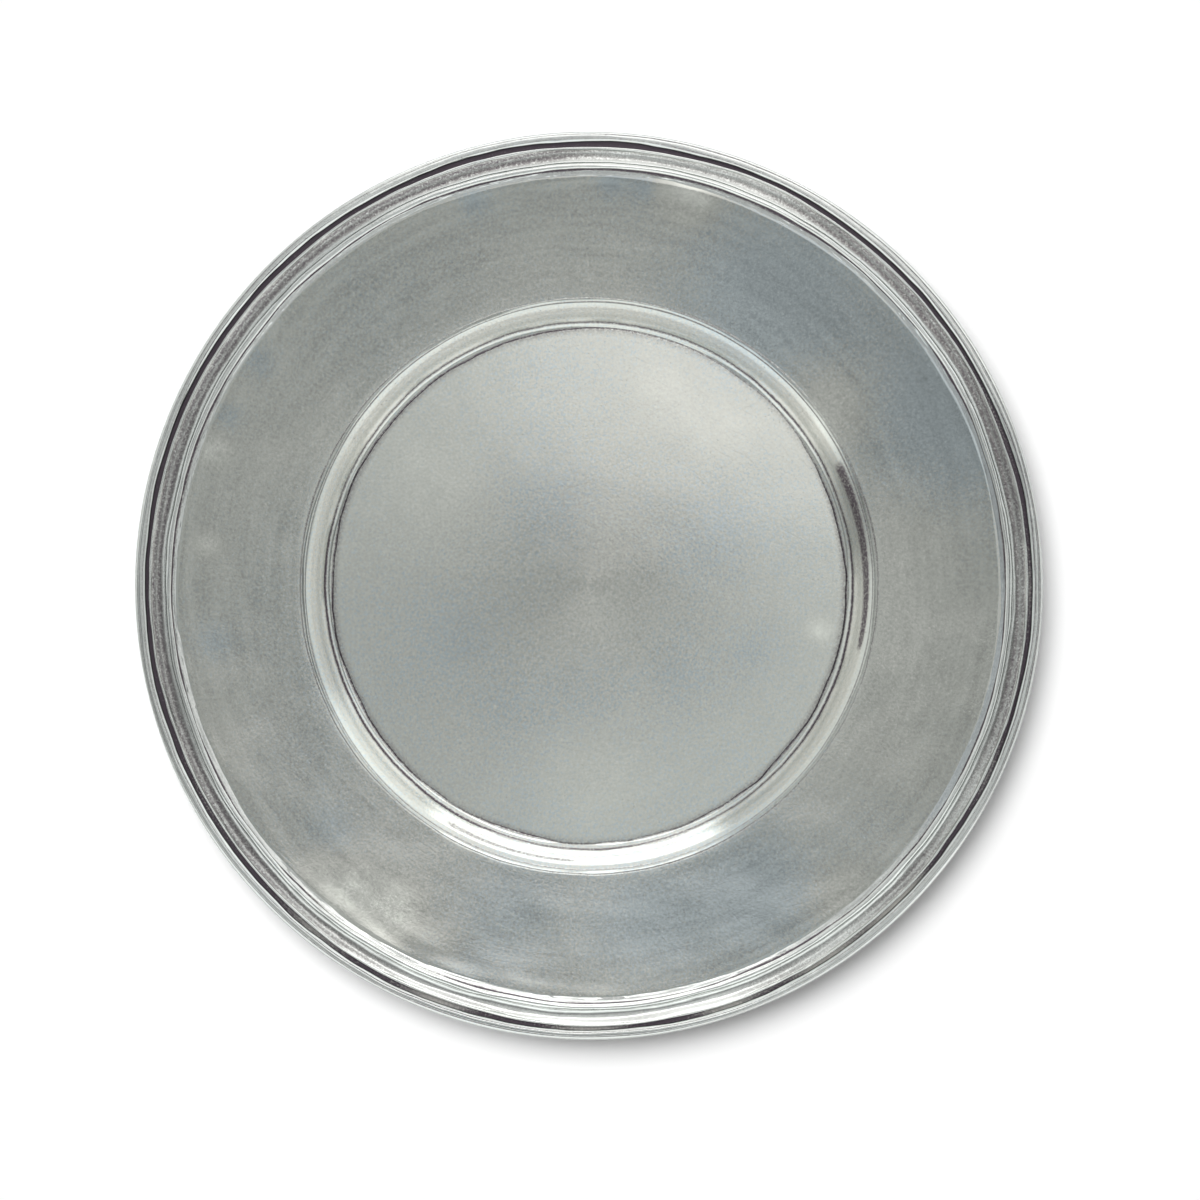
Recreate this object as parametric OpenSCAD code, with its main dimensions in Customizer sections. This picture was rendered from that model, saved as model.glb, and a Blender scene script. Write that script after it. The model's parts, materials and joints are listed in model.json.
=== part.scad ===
// A pewter charger: a spun sheet dish with a cast moulding and a cast bead soft-soldered round its rim.
// Sizes are in millimetres. Z is up, the origin is the centre of the base,
// and every piece is one section turned about Z.

/* [Charger] */
// Diameter over the edge bead
charger_d = 330; // [290:1:400]
// Thickness of the spun sheet
sheet_t = 1.8; // [1.2:0.1:2.4]

/* [Well] */
// Diameter of the flat floor
well_d = 188.4; // [150:0.2:226]
// Height of the rim's inner edge above the floor
well_depth = 8; // [6:0.1:12]

/* [Booge] */
// Slope of the straight part of the wall, in degrees
booge_slope = 45; // [40:1:60]
// Radius of the hollow at the foot of the wall
foot_r = 3.4; // [2:0.1:5]
// Radius of the rounded head of the wall
head_r = 7; // [4:0.1:8.4]

/* [Rim] */
// Slope of the rim beside the booge, in degrees
rim_slope_in = 4.5; // [2:0.5:5]
// Slope of the rim beside the border, in degrees
rim_slope_out = 7; // [6:0.5:12]
// Radius of the turn from the rim on to the flat seat
knee_r = 6; // [3:0.5:9]
// Bare seat inside the solder
seat_margin = 0.3; // [0.1:0.1:1]

/* [Scribed lines] */
// Nose radius of the tool that cut the lines
line_r = 0.22; // [0.1:0.02:0.3]
// Slope of the booge's head at its lower line, in degrees
head_line_low = 24; // [22:1:36]
// Slope of the booge's head at its upper line, in degrees
head_line_high = 10; // [8:1:18]
// Distance of each line on the bead from the bead's crest
bead_line_off = 0.75; // [0.4:0.05:1]

/* [Moulding] */
// Width of the moulding
moulding_w = 8.2; // [7:0.1:10]
// Height of its inner wall, where the reed starts
wall_h = 0.6; // [0.4:0.05:0.7]
// Width of the reed
reed_w = 2.5; // [2:0.1:3.2]
// Height of the reed's crest above that wall
reed_rise = 0.75; // [0.4:0.05:0.9]
// Width of the narrow fillet between reed and cove
fillet_w = 0.3; // [0.2:0.05:1]
// Height of that fillet above the inner wall
fillet_rise = 0.25; // [0.1:0.05:0.5]
// Depth of the cove below a straight line across it
cove_sag = 1; // [0.5:0.05:1]
// Width of the flat on the outer crest
crest_w = 0.6; // [0.2:0.05:0.8]
// Height of the outer crest above the seat
crest_h = 2.1; // [1.7:0.05:2.5]

/* [Bead] */
// Width of the half-round bead
bead_w = 3.8; // [3.6:0.1:5]
// Height of the bead's straight inner wall above the seat
bead_wall_h = 0.35; // [0.35:0.05:0.8]
// Width of the channel between moulding and bead
channel_w = 1.5; // [1:0.05:3]
// How far the rebate reaches over the sheet
rebate_w = 1.6; // [1:0.05:2]
// Depth of the bead's skirt below the sheet
skirt_drop = 0.75; // [0.7:0.05:1.2]
// Radius of the skirt's outer corner
skirt_r = 1.2; // [0.6:0.1:1.3]
// Gap between the sheet's cut edge and the rebate
joint_gap = 0.1; // [0.05:0.01:0.2]

/* [Solder] */
// Width of the scraped slope inside the moulding
solder_w = 1.8; // [1:0.1:2.4]
// Thickness of that slope at its toe
toe_t = 0.1; // [0.08:0.02:0.2]
// Depth of solder in the channel
fill_h = 0.3; // [0.15:0.05:0.35]
// Width of the fillet under the sheet
under_w = 0.7; // [0.5:0.05:1]
// Depth of the fillet under the sheet
under_h = 0.55; // [0.4:0.05:0.65]

/* [Hidden] */
sheet_colour = "#a3a8a3";
cast_colour = "#9a9f9b";
solder_colour = "#9a9c9a";
tarnish_colour = "#4c474d";
turn_fn = 180;
line_fn = 24;
small_steps = 8;
long_steps = 24;

// Radii of the border, from the outside in
charger_r = charger_d / 2;
bead_in = charger_r - bead_w;
edge_r = bead_in + rebate_w;
moulding_out = bead_in - channel_w;
moulding_in = moulding_out - moulding_w;
solder_in = moulding_in - solder_w;
seat_in = solder_in - seat_margin;

// The wall: a hollow foot, a straight and a rounded head, each tangent to the next
well_r = well_d / 2;
foot_c = [well_r, sheet_t + foot_r];
foot_end = foot_c + foot_r * down(booge_slope);
head_rise = head_r * (cos(rim_slope_in) - cos(booge_slope));
straight_rise = sheet_t + well_depth - head_rise - foot_end.y;
head_start = foot_end + straight_rise * [1 / tan(booge_slope), 1];
head_c = head_start + head_r * down(booge_slope);

// The rim: a long hollow arc, then the knee that brings it level at the seat
rim_start = head_c - head_r * down(rim_slope_in);
rim_end_r = seat_in - knee_r * sin(rim_slope_out);
rim_r = (rim_end_r - rim_start.x) / (sin(rim_slope_out) - sin(rim_slope_in));
rim_c = rim_start - rim_r * down(rim_slope_in);
rim_end = rim_c + rim_r * down(rim_slope_out);
knee_c = rim_end + knee_r * down(rim_slope_out);
seat_z = knee_c.y + knee_r;
under_z = seat_z - sheet_t;

bead_c = [charger_r - bead_w / 2, seat_z + bead_wall_h];
skirt_z = under_z - skirt_drop;
skirt_c = [charger_r - skirt_r, skirt_z + skirt_r];
skirt_in = edge_r + joint_gap;

// Unit vector into the sheet, square to a surface that rises outwards at this slope
function down(slope) = [sin(slope), -cos(slope)];

function arc(c, r, from, to, steps) =
    [for (i = [0:steps]) let (a = from + (to - from) * i / steps) c + r * [cos(a), sin(a)]];

function reversed(points) = [for (i = [len(points) - 1:-1:0]) points[i]];

// An arc from p to q whose middle stands off the straight line by sag, to the left if sag is positive
function bowed(p, q, sag, steps) =
    let (half = norm(q - p) / 2,
        along = (q - p) / (2 * half),
        left = [-along.y, along.x],
        r = (half * half + sag * sag) / (2 * sag),
        c = (p + q) / 2 + (sag - r) * left,
        turn = asin(half / r))
    [for (i = [0:steps]) let (a = turn * (2 * i / steps - 1)) c + r * (cos(a) * left + sin(a) * along)];

// One face of the sheet from the axis to its cut edge, at this depth below the upper face
function sheet_face(depth) = concat(
    [[0, sheet_t - depth]],
    arc(foot_c, foot_r + depth, -90, booge_slope - 90, small_steps),
    arc(head_c, head_r - depth, booge_slope + 90, rim_slope_in + 90, small_steps),
    arc(rim_c, rim_r + depth, rim_slope_in - 90, rim_slope_out - 90, long_steps),
    arc(knee_c, knee_r - depth, rim_slope_out + 90, 90, small_steps),
    [[edge_r, seat_z - depth]]);

module turned() {
    rotate_extrude($fn = turn_fn) children();
}

// Cuts a scribed line into the section at each of the points
module scribed(points) {
    difference() {
        children();
        for (p = points) translate(p) circle(line_r, $fn = line_fn);
    }
}

module dish() {
    lines = [
        foot_c + foot_r * down(0),
        foot_end,
        head_c - head_r * down(head_line_low),
        head_c - head_r * down(head_line_high)];
    color(sheet_colour) turned() scribed(lines)
        polygon(concat(sheet_face(0), reversed(sheet_face(sheet_t))));
}

module rim_moulding() {
    reed_start = [moulding_in, seat_z + wall_h];
    reed_end = reed_start + [reed_w, 0];
    fillet_start = reed_end + [0, fillet_rise];
    cove_start = fillet_start + [fillet_w, 0];
    cove_end = [moulding_out - crest_w, seat_z + crest_h];
    color(cast_colour) turned() scribed([reed_start])
        polygon(concat(
            [[moulding_out, seat_z], [moulding_in, seat_z]],
            bowed(reed_start, reed_end, reed_rise, long_steps),
            [fillet_start],
            bowed(cove_start, cove_end, -cove_sag, long_steps),
            [[moulding_out, seat_z + crest_h]]));
}

module edge_bead() {
    crest = bead_c + [0, bead_w / 2];
    line_drop = bead_w / 2 - sqrt(pow(bead_w / 2, 2) - pow(bead_line_off, 2));
    lines = [for (side = [-1, 1]) crest + [side * bead_line_off, -line_drop]];
    color(cast_colour) turned() scribed(lines)
        polygon(concat(
            [[skirt_in, skirt_z], [skirt_in, seat_z], [bead_in, seat_z]],
            arc(bead_c, bead_w / 2, 180, 0, long_steps),
            arc(skirt_c, skirt_r, 0, -90, small_steps)));
}

module inner_solder() {
    wall_top = [moulding_in, seat_z + wall_h];
    color(solder_colour) turned() scribed([wall_top])
        polygon([[solder_in, seat_z], [moulding_in, seat_z], wall_top, [solder_in, seat_z + toe_t]]);
}

module channel_solder() {
    color(tarnish_colour) turned() translate([moulding_out, seat_z]) square([channel_w, fill_h]);
}

module under_solder() {
    color(solder_colour) turned() translate([skirt_in, under_z])
        polygon([[0, 0], [-under_w, 0], [0, -under_h]]);
}

dish();
rim_moulding();
edge_bead();
inner_solder();
channel_solder();
under_solder();
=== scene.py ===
# %% [markdown]
# # A pewter charger
#
# A charger is the wide plate that stays on the table under a dinner plate. This one is spun from pewter
# sheet: a flat well, a short curved wall that pewterers call the booge, and a broad plain rim. A cast
# moulding and a cast bead are soldered round its edge. Every piece is turned, so every piece is a flat
# drawing of its section, swept round the axis by one small Geometry Nodes tree. The handwork comes after:
# a slightly uneven surface, lines that wander, and tarnish where a polishing cloth can't reach.

# %% Load the frame and keep the box of the CAD model
import json
import math
from collections import namedtuple

import bpy
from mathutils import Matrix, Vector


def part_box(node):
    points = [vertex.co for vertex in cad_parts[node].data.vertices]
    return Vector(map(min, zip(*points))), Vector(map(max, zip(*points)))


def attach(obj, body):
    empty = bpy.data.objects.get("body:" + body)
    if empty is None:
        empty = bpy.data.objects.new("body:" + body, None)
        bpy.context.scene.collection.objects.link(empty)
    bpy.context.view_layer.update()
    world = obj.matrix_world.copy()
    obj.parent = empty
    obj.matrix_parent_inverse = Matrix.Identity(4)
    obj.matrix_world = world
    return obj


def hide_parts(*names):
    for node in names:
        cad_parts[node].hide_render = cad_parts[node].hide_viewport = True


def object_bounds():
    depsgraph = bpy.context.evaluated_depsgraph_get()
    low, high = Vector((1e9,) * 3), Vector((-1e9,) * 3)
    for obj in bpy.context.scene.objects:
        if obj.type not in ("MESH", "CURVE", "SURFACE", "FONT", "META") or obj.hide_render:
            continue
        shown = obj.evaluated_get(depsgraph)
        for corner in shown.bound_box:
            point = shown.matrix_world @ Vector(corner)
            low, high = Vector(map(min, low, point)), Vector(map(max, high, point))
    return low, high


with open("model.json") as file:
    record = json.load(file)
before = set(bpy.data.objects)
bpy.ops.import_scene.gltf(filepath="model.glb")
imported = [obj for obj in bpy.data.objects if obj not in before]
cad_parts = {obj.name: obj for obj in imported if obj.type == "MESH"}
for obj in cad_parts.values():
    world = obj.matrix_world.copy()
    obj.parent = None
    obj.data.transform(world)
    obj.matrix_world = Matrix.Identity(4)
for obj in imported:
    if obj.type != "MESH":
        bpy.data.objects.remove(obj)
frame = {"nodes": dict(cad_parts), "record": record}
cad_low, cad_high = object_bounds()
MM = 0.001
print("CAD box, mm:", [round((b - a) / MM, 2) for a, b in zip(cad_low, cad_high)])

# %% [markdown]
# ## Sizes
#
# The frame already knows where each ring sits, so the radii and heights of the border are measured from
# its nodes. The sizes that a box can't tell, such as the radius of the booge's foot, are written out here.

# %% Measure the border from the frame


def radii(node):
    """Smallest and largest distance of a node's surface from the axis."""
    spans = [math.hypot(v.co.x, v.co.y) for v in frame["nodes"][node].data.vertices]
    return min(spans), max(spans)


def heights(node):
    low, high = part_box(node)
    return low.z, high.z


sheet_t = next(m["pos_m"][2] for m in frame["record"]["mounts"] if m["name"] == "well_floor")
edge_r = radii("dish")[1]
seat_z = heights("dish")[1]
under_z = seat_z - sheet_t
moulding_in, moulding_out = radii("rim_moulding")
crest_z = heights("rim_moulding")[1]
bead_in = radii("edge_bead")[0]
charger_r = min(-cad_low.x, -cad_low.y, cad_high.x, cad_high.y)
skirt_z, bead_top = heights("edge_bead")
solder_in = radii("inner_solder")[0]
fill_z = heights("channel_solder")[1]
under_in, skirt_in = radii("under_solder")
under_low = heights("under_solder")[0]
border_radii = (solder_in, moulding_in, moulding_out, bead_in, charger_r)
print("border radii, mm:", [round(r / MM, 2) for r in border_radii])

# %% Sizes of the sheet and of the border's small shapes
well_r = 94.2 * MM
well_depth = 8 * MM
booge_slope = math.radians(45)
foot_r = 3.4 * MM
head_r = 7 * MM
rim_slope_in = math.radians(4.5)
rim_slope_out = math.radians(7)
knee_r = 6 * MM
seat_margin = 0.3 * MM
lower_line_slope = math.radians(24)
upper_line_slope = math.radians(10)
line_half = 0.26 * MM
wall_h = 0.6 * MM
reed_w = 2.5 * MM
reed_rise = 0.75 * MM
fillet_w = 0.3 * MM
fillet_rise = 0.25 * MM
cove_sag = 1.0 * MM
crest_w = 0.6 * MM
skirt_r = 1.2 * MM
bead_line_off = 0.75 * MM
print("well", round(2 * well_r / MM, 1), "mm across and", round(well_depth / MM, 1), "mm deep")

# %% [markdown]
# ## Drawing a section
#
# A section is a list of points (r, z). Straight stretches need few points and arcs need many, so two small
# helpers give arcs: one from its centre, and one from its ends and how far its middle stands off the
# straight line. A third helper takes the sharpness off a corner, because a cast or turned edge is never
# a knife edge, and its thin bright highlight is what the eye reads as metal.

# %% Arcs and softened corners


def arc(centre, radius, start, end, steps):
    turns = [start + (end - start) * i / steps for i in range(steps + 1)]
    return [(centre[0] + radius * math.cos(a), centre[1] + radius * math.sin(a)) for a in turns]


def bowed(p, q, sag, steps):
    """An arc from p to q whose middle stands sag to the left of the straight line."""
    half = math.dist(p, q) / 2
    along = ((q[0] - p[0]) / (2 * half), (q[1] - p[1]) / (2 * half))
    left = (-along[1], along[0])
    radius = (half * half + sag * sag) / (2 * sag)
    middle = [(a + b) / 2 + (sag - radius) * side for a, b, side in zip(p, q, left)]
    turn = math.asin(half / radius)
    points = []
    for i in range(steps + 1):
        a = turn * (2 * i / steps - 1)
        aside, ahead = radius * math.cos(a), radius * math.sin(a)
        points.append(tuple(m + aside * s + ahead * t for m, s, t in zip(middle, left, along)))
    return points


def softened(before, corner, after, cut, steps=4):
    """A small curve in place of a corner, starting and ending this far from it."""
    ends = []
    for other in (before, after):
        share = cut / math.dist(corner, other)
        ends.append([c + (o - c) * share for c, o in zip(corner, other)])
    first, last = ends
    points = []
    for t in [i / steps for i in range(steps + 1)]:
        leave, bend, arrive = (1 - t) ** 2, 2 * t * (1 - t), t * t
        points.append(tuple(leave * f + bend * c + arrive * e for f, c, e in zip(first, corner, last)))
    return points


print("a quarter circle has", len(arc((0, 0), 1, 0, math.pi / 2, 8)), "points")

# %% [markdown]
# ## Formulas that become nodes
#
# Geometry Nodes and shaders both do sums with Math nodes. Wired by hand they are hard to read, so a small
# class wraps a socket and lets Python's own operators add those nodes. Every other node comes from one
# function, which sets the node up and then fills its sockets with values or wires.

# %% Wires and nodes
# A Mix node keeps its colours behind these sockets
FIRST_COLOUR, SECOND_COLOUR, MIXED_COLOUR = 6, 7, 2


class Wire:
    """A socket that takes part in sums: each operator adds one Math node to the socket's tree."""

    def __init__(self, socket):
        self.socket = socket
        self.tree = socket.id_data

    def math(self, operation, *others):
        return add(self.tree, "ShaderNodeMath", {"operation": operation}, dict(enumerate((self, *others))))

    def __add__(self, other):
        return self.math("ADD", other)

    def __sub__(self, other):
        return self.math("SUBTRACT", other)

    def __rsub__(self, other):
        return add(self.tree, "ShaderNodeMath", {"operation": "SUBTRACT"}, {0: other, 1: self})

    def __mul__(self, other):
        return self.math("MULTIPLY", other)

    def __truediv__(self, other):
        return self.math("DIVIDE", other)

    __radd__ = __add__
    __rmul__ = __mul__


def add(tree, kind, settings=None, sockets=None, output=0):
    """Adds a node, its settings first and then its sockets, and gives one of its outputs as a Wire."""
    node = tree.nodes.new(kind)
    for name, value in (settings or {}).items():
        setattr(node, name, value)
    for key, value in (sockets or {}).items():
        if isinstance(value, Wire):
            tree.links.new(value.socket, node.inputs[key])
        else:
            node.inputs[key].default_value = value
    return Wire(node.outputs[output]) if node.outputs else node


def parts_of(vector):
    """The x, y and z of a vector wire."""
    node = add(vector.tree, "ShaderNodeSeparateXYZ", None, {0: vector}).socket.node
    return [Wire(socket) for socket in node.outputs]


def vector_of(tree, x, y, z):
    return add(tree, "ShaderNodeCombineXYZ", None, {0: x, 1: y, 2: z})


def clouds(tree, vector, scale, detail=2.0, roughness=0.5):
    """A noise pattern from 0 to 1; scale is in repeats per unit of the vector."""
    sockets = {"Vector": vector, "Scale": scale, "Detail": detail, "Roughness": roughness}
    return add(tree, "ShaderNodeTexNoise", {"noise_dimensions": "3D"}, sockets)


def ease(value, low, high, to_low=0.0, to_high=1.0):
    """A smooth step from to_low, below low, to to_high, above high."""
    sockets = {"Value": value, "From Min": low, "From Max": high, "To Min": to_low, "To Max": to_high}
    return add(value.tree, "ShaderNodeMapRange", {"interpolation_type": "SMOOTHSTEP"}, sockets)


def blend(factor, first, second, way="MIX"):
    """Mixes two colours, each a wire or a plain colour, by a wire or a plain share."""
    wires = [w for w in (factor, first, second) if isinstance(w, Wire)]
    settings = {"data_type": "RGBA", "blend_type": way, "clamp_factor": True}
    ends = [c if isinstance(c, Wire) else (*c, 1.0) for c in (first, second)]
    sockets = {0: factor, FIRST_COLOUR: ends[0], SECOND_COLOUR: ends[1]}
    return add(wires[0].tree, "ShaderNodeMix", settings, sockets, MIXED_COLOUR)


print("node helpers:", [helper.__name__ for helper in (add, parts_of, vector_of, clouds, ease, blend)])

# %% [markdown]
# ## The lathe
#
# Turning is a rule, so Geometry Nodes do it: the section becomes a curve, and Curve to Mesh carries it
# round a circle. Points of the section that lie on the axis fall together there, and Merge by Distance
# closes them. Hand work then makes it uneven, and each point of a section says how far it takes part:
#
# - hammer: planishing leaves slow waves, which are calmer at the back of the plate.
# - wander: lines and rings run a few tenths of a millimetre in and out, and strand keeps them apart.
# - groove: a scribed line lowers the surface, and polishing has worn the line away here and there.
# - tarnish: how dark the point is, less where its line is worn; painted dark reflections on the wall join it
#   later.

# %% Build the lathe as a node tree
LATHE_INPUTS = {
    "Facets": ("NodeSocketInt", 480),
    "Turning radius": ("NodeSocketFloat", charger_r),
    "Wave depth": ("NodeSocketFloat", 0.0),
    "Wave top": ("NodeSocketFloat", 1.0),
    "Waves per metre": ("NodeSocketFloat", 40.0),
    "Wander": ("NodeSocketFloat", 0.40 * MM),
    "Wander per turn": ("NodeSocketFloat", 3.6),
    "Line depth": ("NodeSocketFloat", 0.0),
    "Line wear": ("NodeSocketFloat", 0.0),
    "Seed": ("NodeSocketFloat", 3.0),
    "Finish": ("NodeSocketMaterial", None),
}
SHARES = ("hammer", "wander", "strand", "groove", "tarnish")
WELD = 0.002 * MM
# Waves are whole in front of the first y, in metres, and have the calm share behind the second
CALM_SPAN = (-0.12, 0.06)
CALM = 0.7
WEAR_PER_TURN = 1.1
WEAR_OFFSET = 20.0
# Noise gathers round 0.5, so these levels stand for its low and high ends
WORN_SPAN = (0.4, 0.62)
NOISE_SPAN = (0.3, 0.7)


def build_lathe():
    tree = bpy.data.node_groups.new("Lathe", "GeometryNodeTree")
    tree.interface.new_socket("Section", in_out="INPUT", socket_type="NodeSocketGeometry")
    tree.interface.new_socket("Turned", in_out="OUTPUT", socket_type="NodeSocketGeometry")
    for name, (kind, value) in LATHE_INPUTS.items():
        socket = tree.interface.new_socket(name, in_out="INPUT", socket_type=kind)
        if value is not None:
            socket.default_value = value
    entry = tree.nodes.new("NodeGroupInput")
    given = {socket.name: Wire(socket) for socket in entry.outputs if socket.name}
    share = {name: add(tree, "GeometryNodeInputNamedAttribute", {"data_type": "FLOAT"}, {"Name": name})
             for name in SHARES}

    template = add(tree, "GeometryNodeMeshToCurve", None, {0: given["Section"]})
    path = add(tree, "GeometryNodeCurvePrimitiveCircle", {"mode": "RADIUS"},
               {"Resolution": given["Facets"], "Radius": given["Turning radius"]})
    turned = add(tree, "GeometryNodeCurveToMesh", None, {"Curve": path, "Profile Curve": template})
    turned = add(tree, "GeometryNodeMergeByDistance", None, {"Geometry": turned, "Distance": WELD})

    x, y, z = parts_of(add(tree, "GeometryNodeInputPosition"))
    reach = (x * x + y * y).math("SQRT").math("MAXIMUM", MM)
    out_x, out_y = x / reach, y / reach
    strand = given["Seed"] + share["strand"]
    wear = clouds(tree, vector_of(tree, out_x, out_y, strand + WEAR_OFFSET), WEAR_PER_TURN, 1.0)
    left = 1.0 - given["Line wear"] * ease(wear, *WORN_SPAN)
    # The stored tarnish later also takes the painted dark reflections on the wall
    turned = add(tree, "GeometryNodeStoreNamedAttribute", {"data_type": "FLOAT", "domain": "POINT"},
                 {"Geometry": turned, "Name": "tarnish", "Value": share["tarnish"] * left})

    waves = clouds(tree, vector_of(tree, x, y, given["Seed"]), given["Waves per metre"], 1.0)
    depth = given["Wave depth"] * share["hammer"] * ease(y, *CALM_SPAN, 1.0, CALM)
    drop = depth * (waves - given["Wave top"])
    drop = drop - given["Line depth"] * share["groove"] * left
    ways = clouds(tree, vector_of(tree, out_x, out_y, strand), given["Wander per turn"], 3.0)
    sideways = given["Wander"] * share["wander"] * ease(ways, *NOISE_SPAN, -1.0, 1.0)
    shift = vector_of(tree, out_x * sideways, out_y * sideways, drop)
    turned = add(tree, "GeometryNodeSetPosition", None, {"Geometry": turned, "Offset": shift})

    turned = add(tree, "GeometryNodeSetShadeSmooth", None, {0: turned})
    turned = add(tree, "GeometryNodeRealizeInstances", None, {0: turned})
    turned = add(tree, "GeometryNodeSetMaterial", None, {"Geometry": turned, "Material": given["Finish"]})
    add(tree, "NodeGroupOutput", None, {0: turned})
    return tree


lathe = build_lathe()
print("lathe:", len(lathe.nodes), "nodes, inputs", list(LATHE_INPUTS))

# %% [markdown]
# ## From a drawing to a piece
#
# The drawing is a mesh of edges in the XY plane: X is the distance from the charger's outer edge, and Y is
# the height drawn downwards, because the sweep turns the drawing over. The modifier is evaluated once, and
# the result is kept as a plain mesh, so nothing is left live.

# %% Turn a section into a piece
SHARP_CORNER = math.radians(40)


def turn_piece(name, section, slot, finish, shares, closed=True, **inputs):
    """Sweeps a section round the axis and lets the result stand for the CAD node of the same name."""
    drawing = bpy.data.meshes.new(name + "_section")
    last = len(section) - 1
    edges = [(i, i + 1) for i in range(last)] + ([(last, 0)] if closed else [])
    drawing.from_pydata([(r - charger_r, -z, 0.0) for r, z in section], edges, [])
    for key in SHARES:
        values = [shares[key](r, z) if key in shares else 0.0 for r, z in section]
        drawing.attributes.new(key, "FLOAT", "POINT").data.foreach_set("value", values)
    piece = bpy.data.objects.new(name, drawing)
    bpy.context.scene.collection.objects.link(piece)
    modifier = piece.modifiers.new("Lathe", "NODES")
    modifier.node_group = lathe
    inputs["Finish"] = finish
    for item in lathe.interface.items_tree:
        if item.in_out == "INPUT" and item.name in inputs:
            modifier[item.identifier] = inputs[item.name]
    graph = bpy.context.evaluated_depsgraph_get()
    solid = bpy.data.meshes.new_from_object(piece.evaluated_get(graph))
    piece.modifiers.clear()
    piece.data = solid
    solid.name = name
    solid.set_sharp_from_angle(angle=SHARP_CORNER)
    bpy.data.meshes.remove(drawing)
    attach(piece, "root")
    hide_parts(name)
    triangles = sum(len(p.vertices) - 2 for p in solid.polygons)
    print(name, "section points", len(section), "triangles", triangles)
    return piece


# %% [markdown]
# ## Patterns on pewter
#
# Pewter is tin with a little copper and antimony: grey, softer than steel, and never quite even. Its tone
# drifts, it has a fine grain, turning and polishing leave streaks and hairlines that run round the piece,
# and a cloth leaves strokes across it. Each of these is noise at its own scale. The shader reads Object
# coordinates and turns them into a direction from the axis and a distance from it, so streaks follow the
# turning with no seam.

# %% Noise for drift, grain, turning marks and cloth strokes
Patterns = namedtuple("Patterns", "place reach drift patches grain tinge mottle streaks hairlines rubbed")
# Repeats per metre, from slow to fine
DRIFT_PITCH = 14.0
PATCH_PITCH = 130.0
PIT_PITCH = 800.0
GRAIN_PITCH = 1000.0
FINE_PITCH = 1400.0
# Radius of the circle that one turn round the axis follows through the noise, and repeats per metre outwards
STREAK_PITCH = (4.0, 260.0)
HAIRLINE_PITCH = (5.0, 900.0)
# Repeats per metre along a stroke and across it, then the angle and the seed of each way of rubbing
STROKE_PITCH = (45.0, 1300.0)
STROKE_WAYS = ((1.4, 1.0), (0.5, 2.0), (2.5, 3.0))
STROKE_BEND = 0.04
STROKE_SPAN = (0.62, 0.78)
TINGE_SHIFT = 0.5
CRISP = 0.6


def metal_patterns(tree):
    """The place of a point, its distance from the axis, and patterns that run from 0 to 1."""
    place = add(tree, "ShaderNodeTexCoord", output="Object")
    x, y, z = parts_of(place)
    reach = (x * x + y * y).math("SQRT").math("MAXIMUM", MM)
    out_x, out_y = x / reach, y / reach
    drift = clouds(tree, place, DRIFT_PITCH)
    bend = (drift - 0.5) * STROKE_BEND

    def around(per_turn, per_metre):
        return vector_of(tree, out_x * per_turn, out_y * per_turn, reach * per_metre)

    def strokes(turn, seed):
        """Marks of a polishing cloth, long one way and narrow the other, and never quite straight."""
        along = x * math.cos(turn) + y * math.sin(turn) + bend
        across = y * math.cos(turn) - x * math.sin(turn) + bend
        spot = vector_of(tree, along * STROKE_PITCH[0], across * STROKE_PITCH[1], seed)
        return ease(clouds(tree, spot, 1.0, 1.0), *STROKE_SPAN)

    first_way, second_way, third_way = [strokes(*way) for way in STROKE_WAYS]
    return Patterns(
        place, reach, drift,
        patches=clouds(tree, place, PATCH_PITCH, 1.0, CRISP),
        grain=clouds(tree, place, GRAIN_PITCH, 2.0, CRISP),
        tinge=clouds(tree, vector_of(tree, x, y, z + TINGE_SHIFT), FINE_PITCH, 1.0),
        mottle=clouds(tree, place, FINE_PITCH, 2.0, CRISP),
        streaks=clouds(tree, around(*STREAK_PITCH), 1.0),
        hairlines=clouds(tree, around(*HAIRLINE_PITCH), 1.0, 4.0, CRISP),
        rubbed=first_way + second_way + third_way)


print("patterns:", Patterns._fields[2:])

# %% [markdown]
# ## The pewter finish
#
# The tone runs from a cool dark grey to a paler warm one, and dark tarnish stays in the lines and hollows.
# Each pattern plays a small part in the tone, the height or the roughness, and the strengths stand together
# here. The mesh gives three values more: tarnish with painted dark reflections, polish with painted
# highlights and dark reflections, and how much darker the rim is made.
# Anisotropy, turned a quarter, spreads each reflection across the hairlines, as turned metal does.

# %% Strengths of the patterns
# The tarnish colours also paint the dark reflections on the wall
DARK_TARNISH_AND_REFLECTION = (0.098, 0.083, 0.099)
DULL = (0.270, 0.272, 0.262)
# The polish warmth also makes painted highlights warm and painted dark reflections cool
MEAN_WARMTH, DRIFT_WARMTH, REFLECTION_AND_POLISH_WARMTH, TINGE_WARMTH = 0.35, 0.7, 0.6, 2.0
GRAIN_TONE, STREAK_TONE, HAIRLINE_TONE, STROKE_TONE = 0.30, 0.07, 0.09, 0.03
# These tones make painted highlights paler and painted dark reflections darker, as well as polish and
# dullness
SHEEN_AND_POLISH_TONE, DARK_REFLECTION_AND_DULL_TONE = 0.2, 0.08
# Heights are in millimetres
GRAIN_HEIGHT, HAIRLINE_HEIGHT, STROKE_HEIGHT, PIT_HEIGHT = 0.012, 0.007, 0.003, 0.01
DRIFT_ROUGH, STREAK_ROUGH, GRAIN_ROUGH, DIRT_ROUGH = 0.08, 0.04, 0.10, 0.20
# Two distances from the axis, in metres, and the share of a pattern at each
TURNING_SHARE = (0.03, 0.11, 0.1, 1.0)
CENTRE_SHARE = (0.0, 0.06, 0.65, 1.0)
SAND_SHARE = (0.095, 0.115, 1.0, 0.5)
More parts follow.
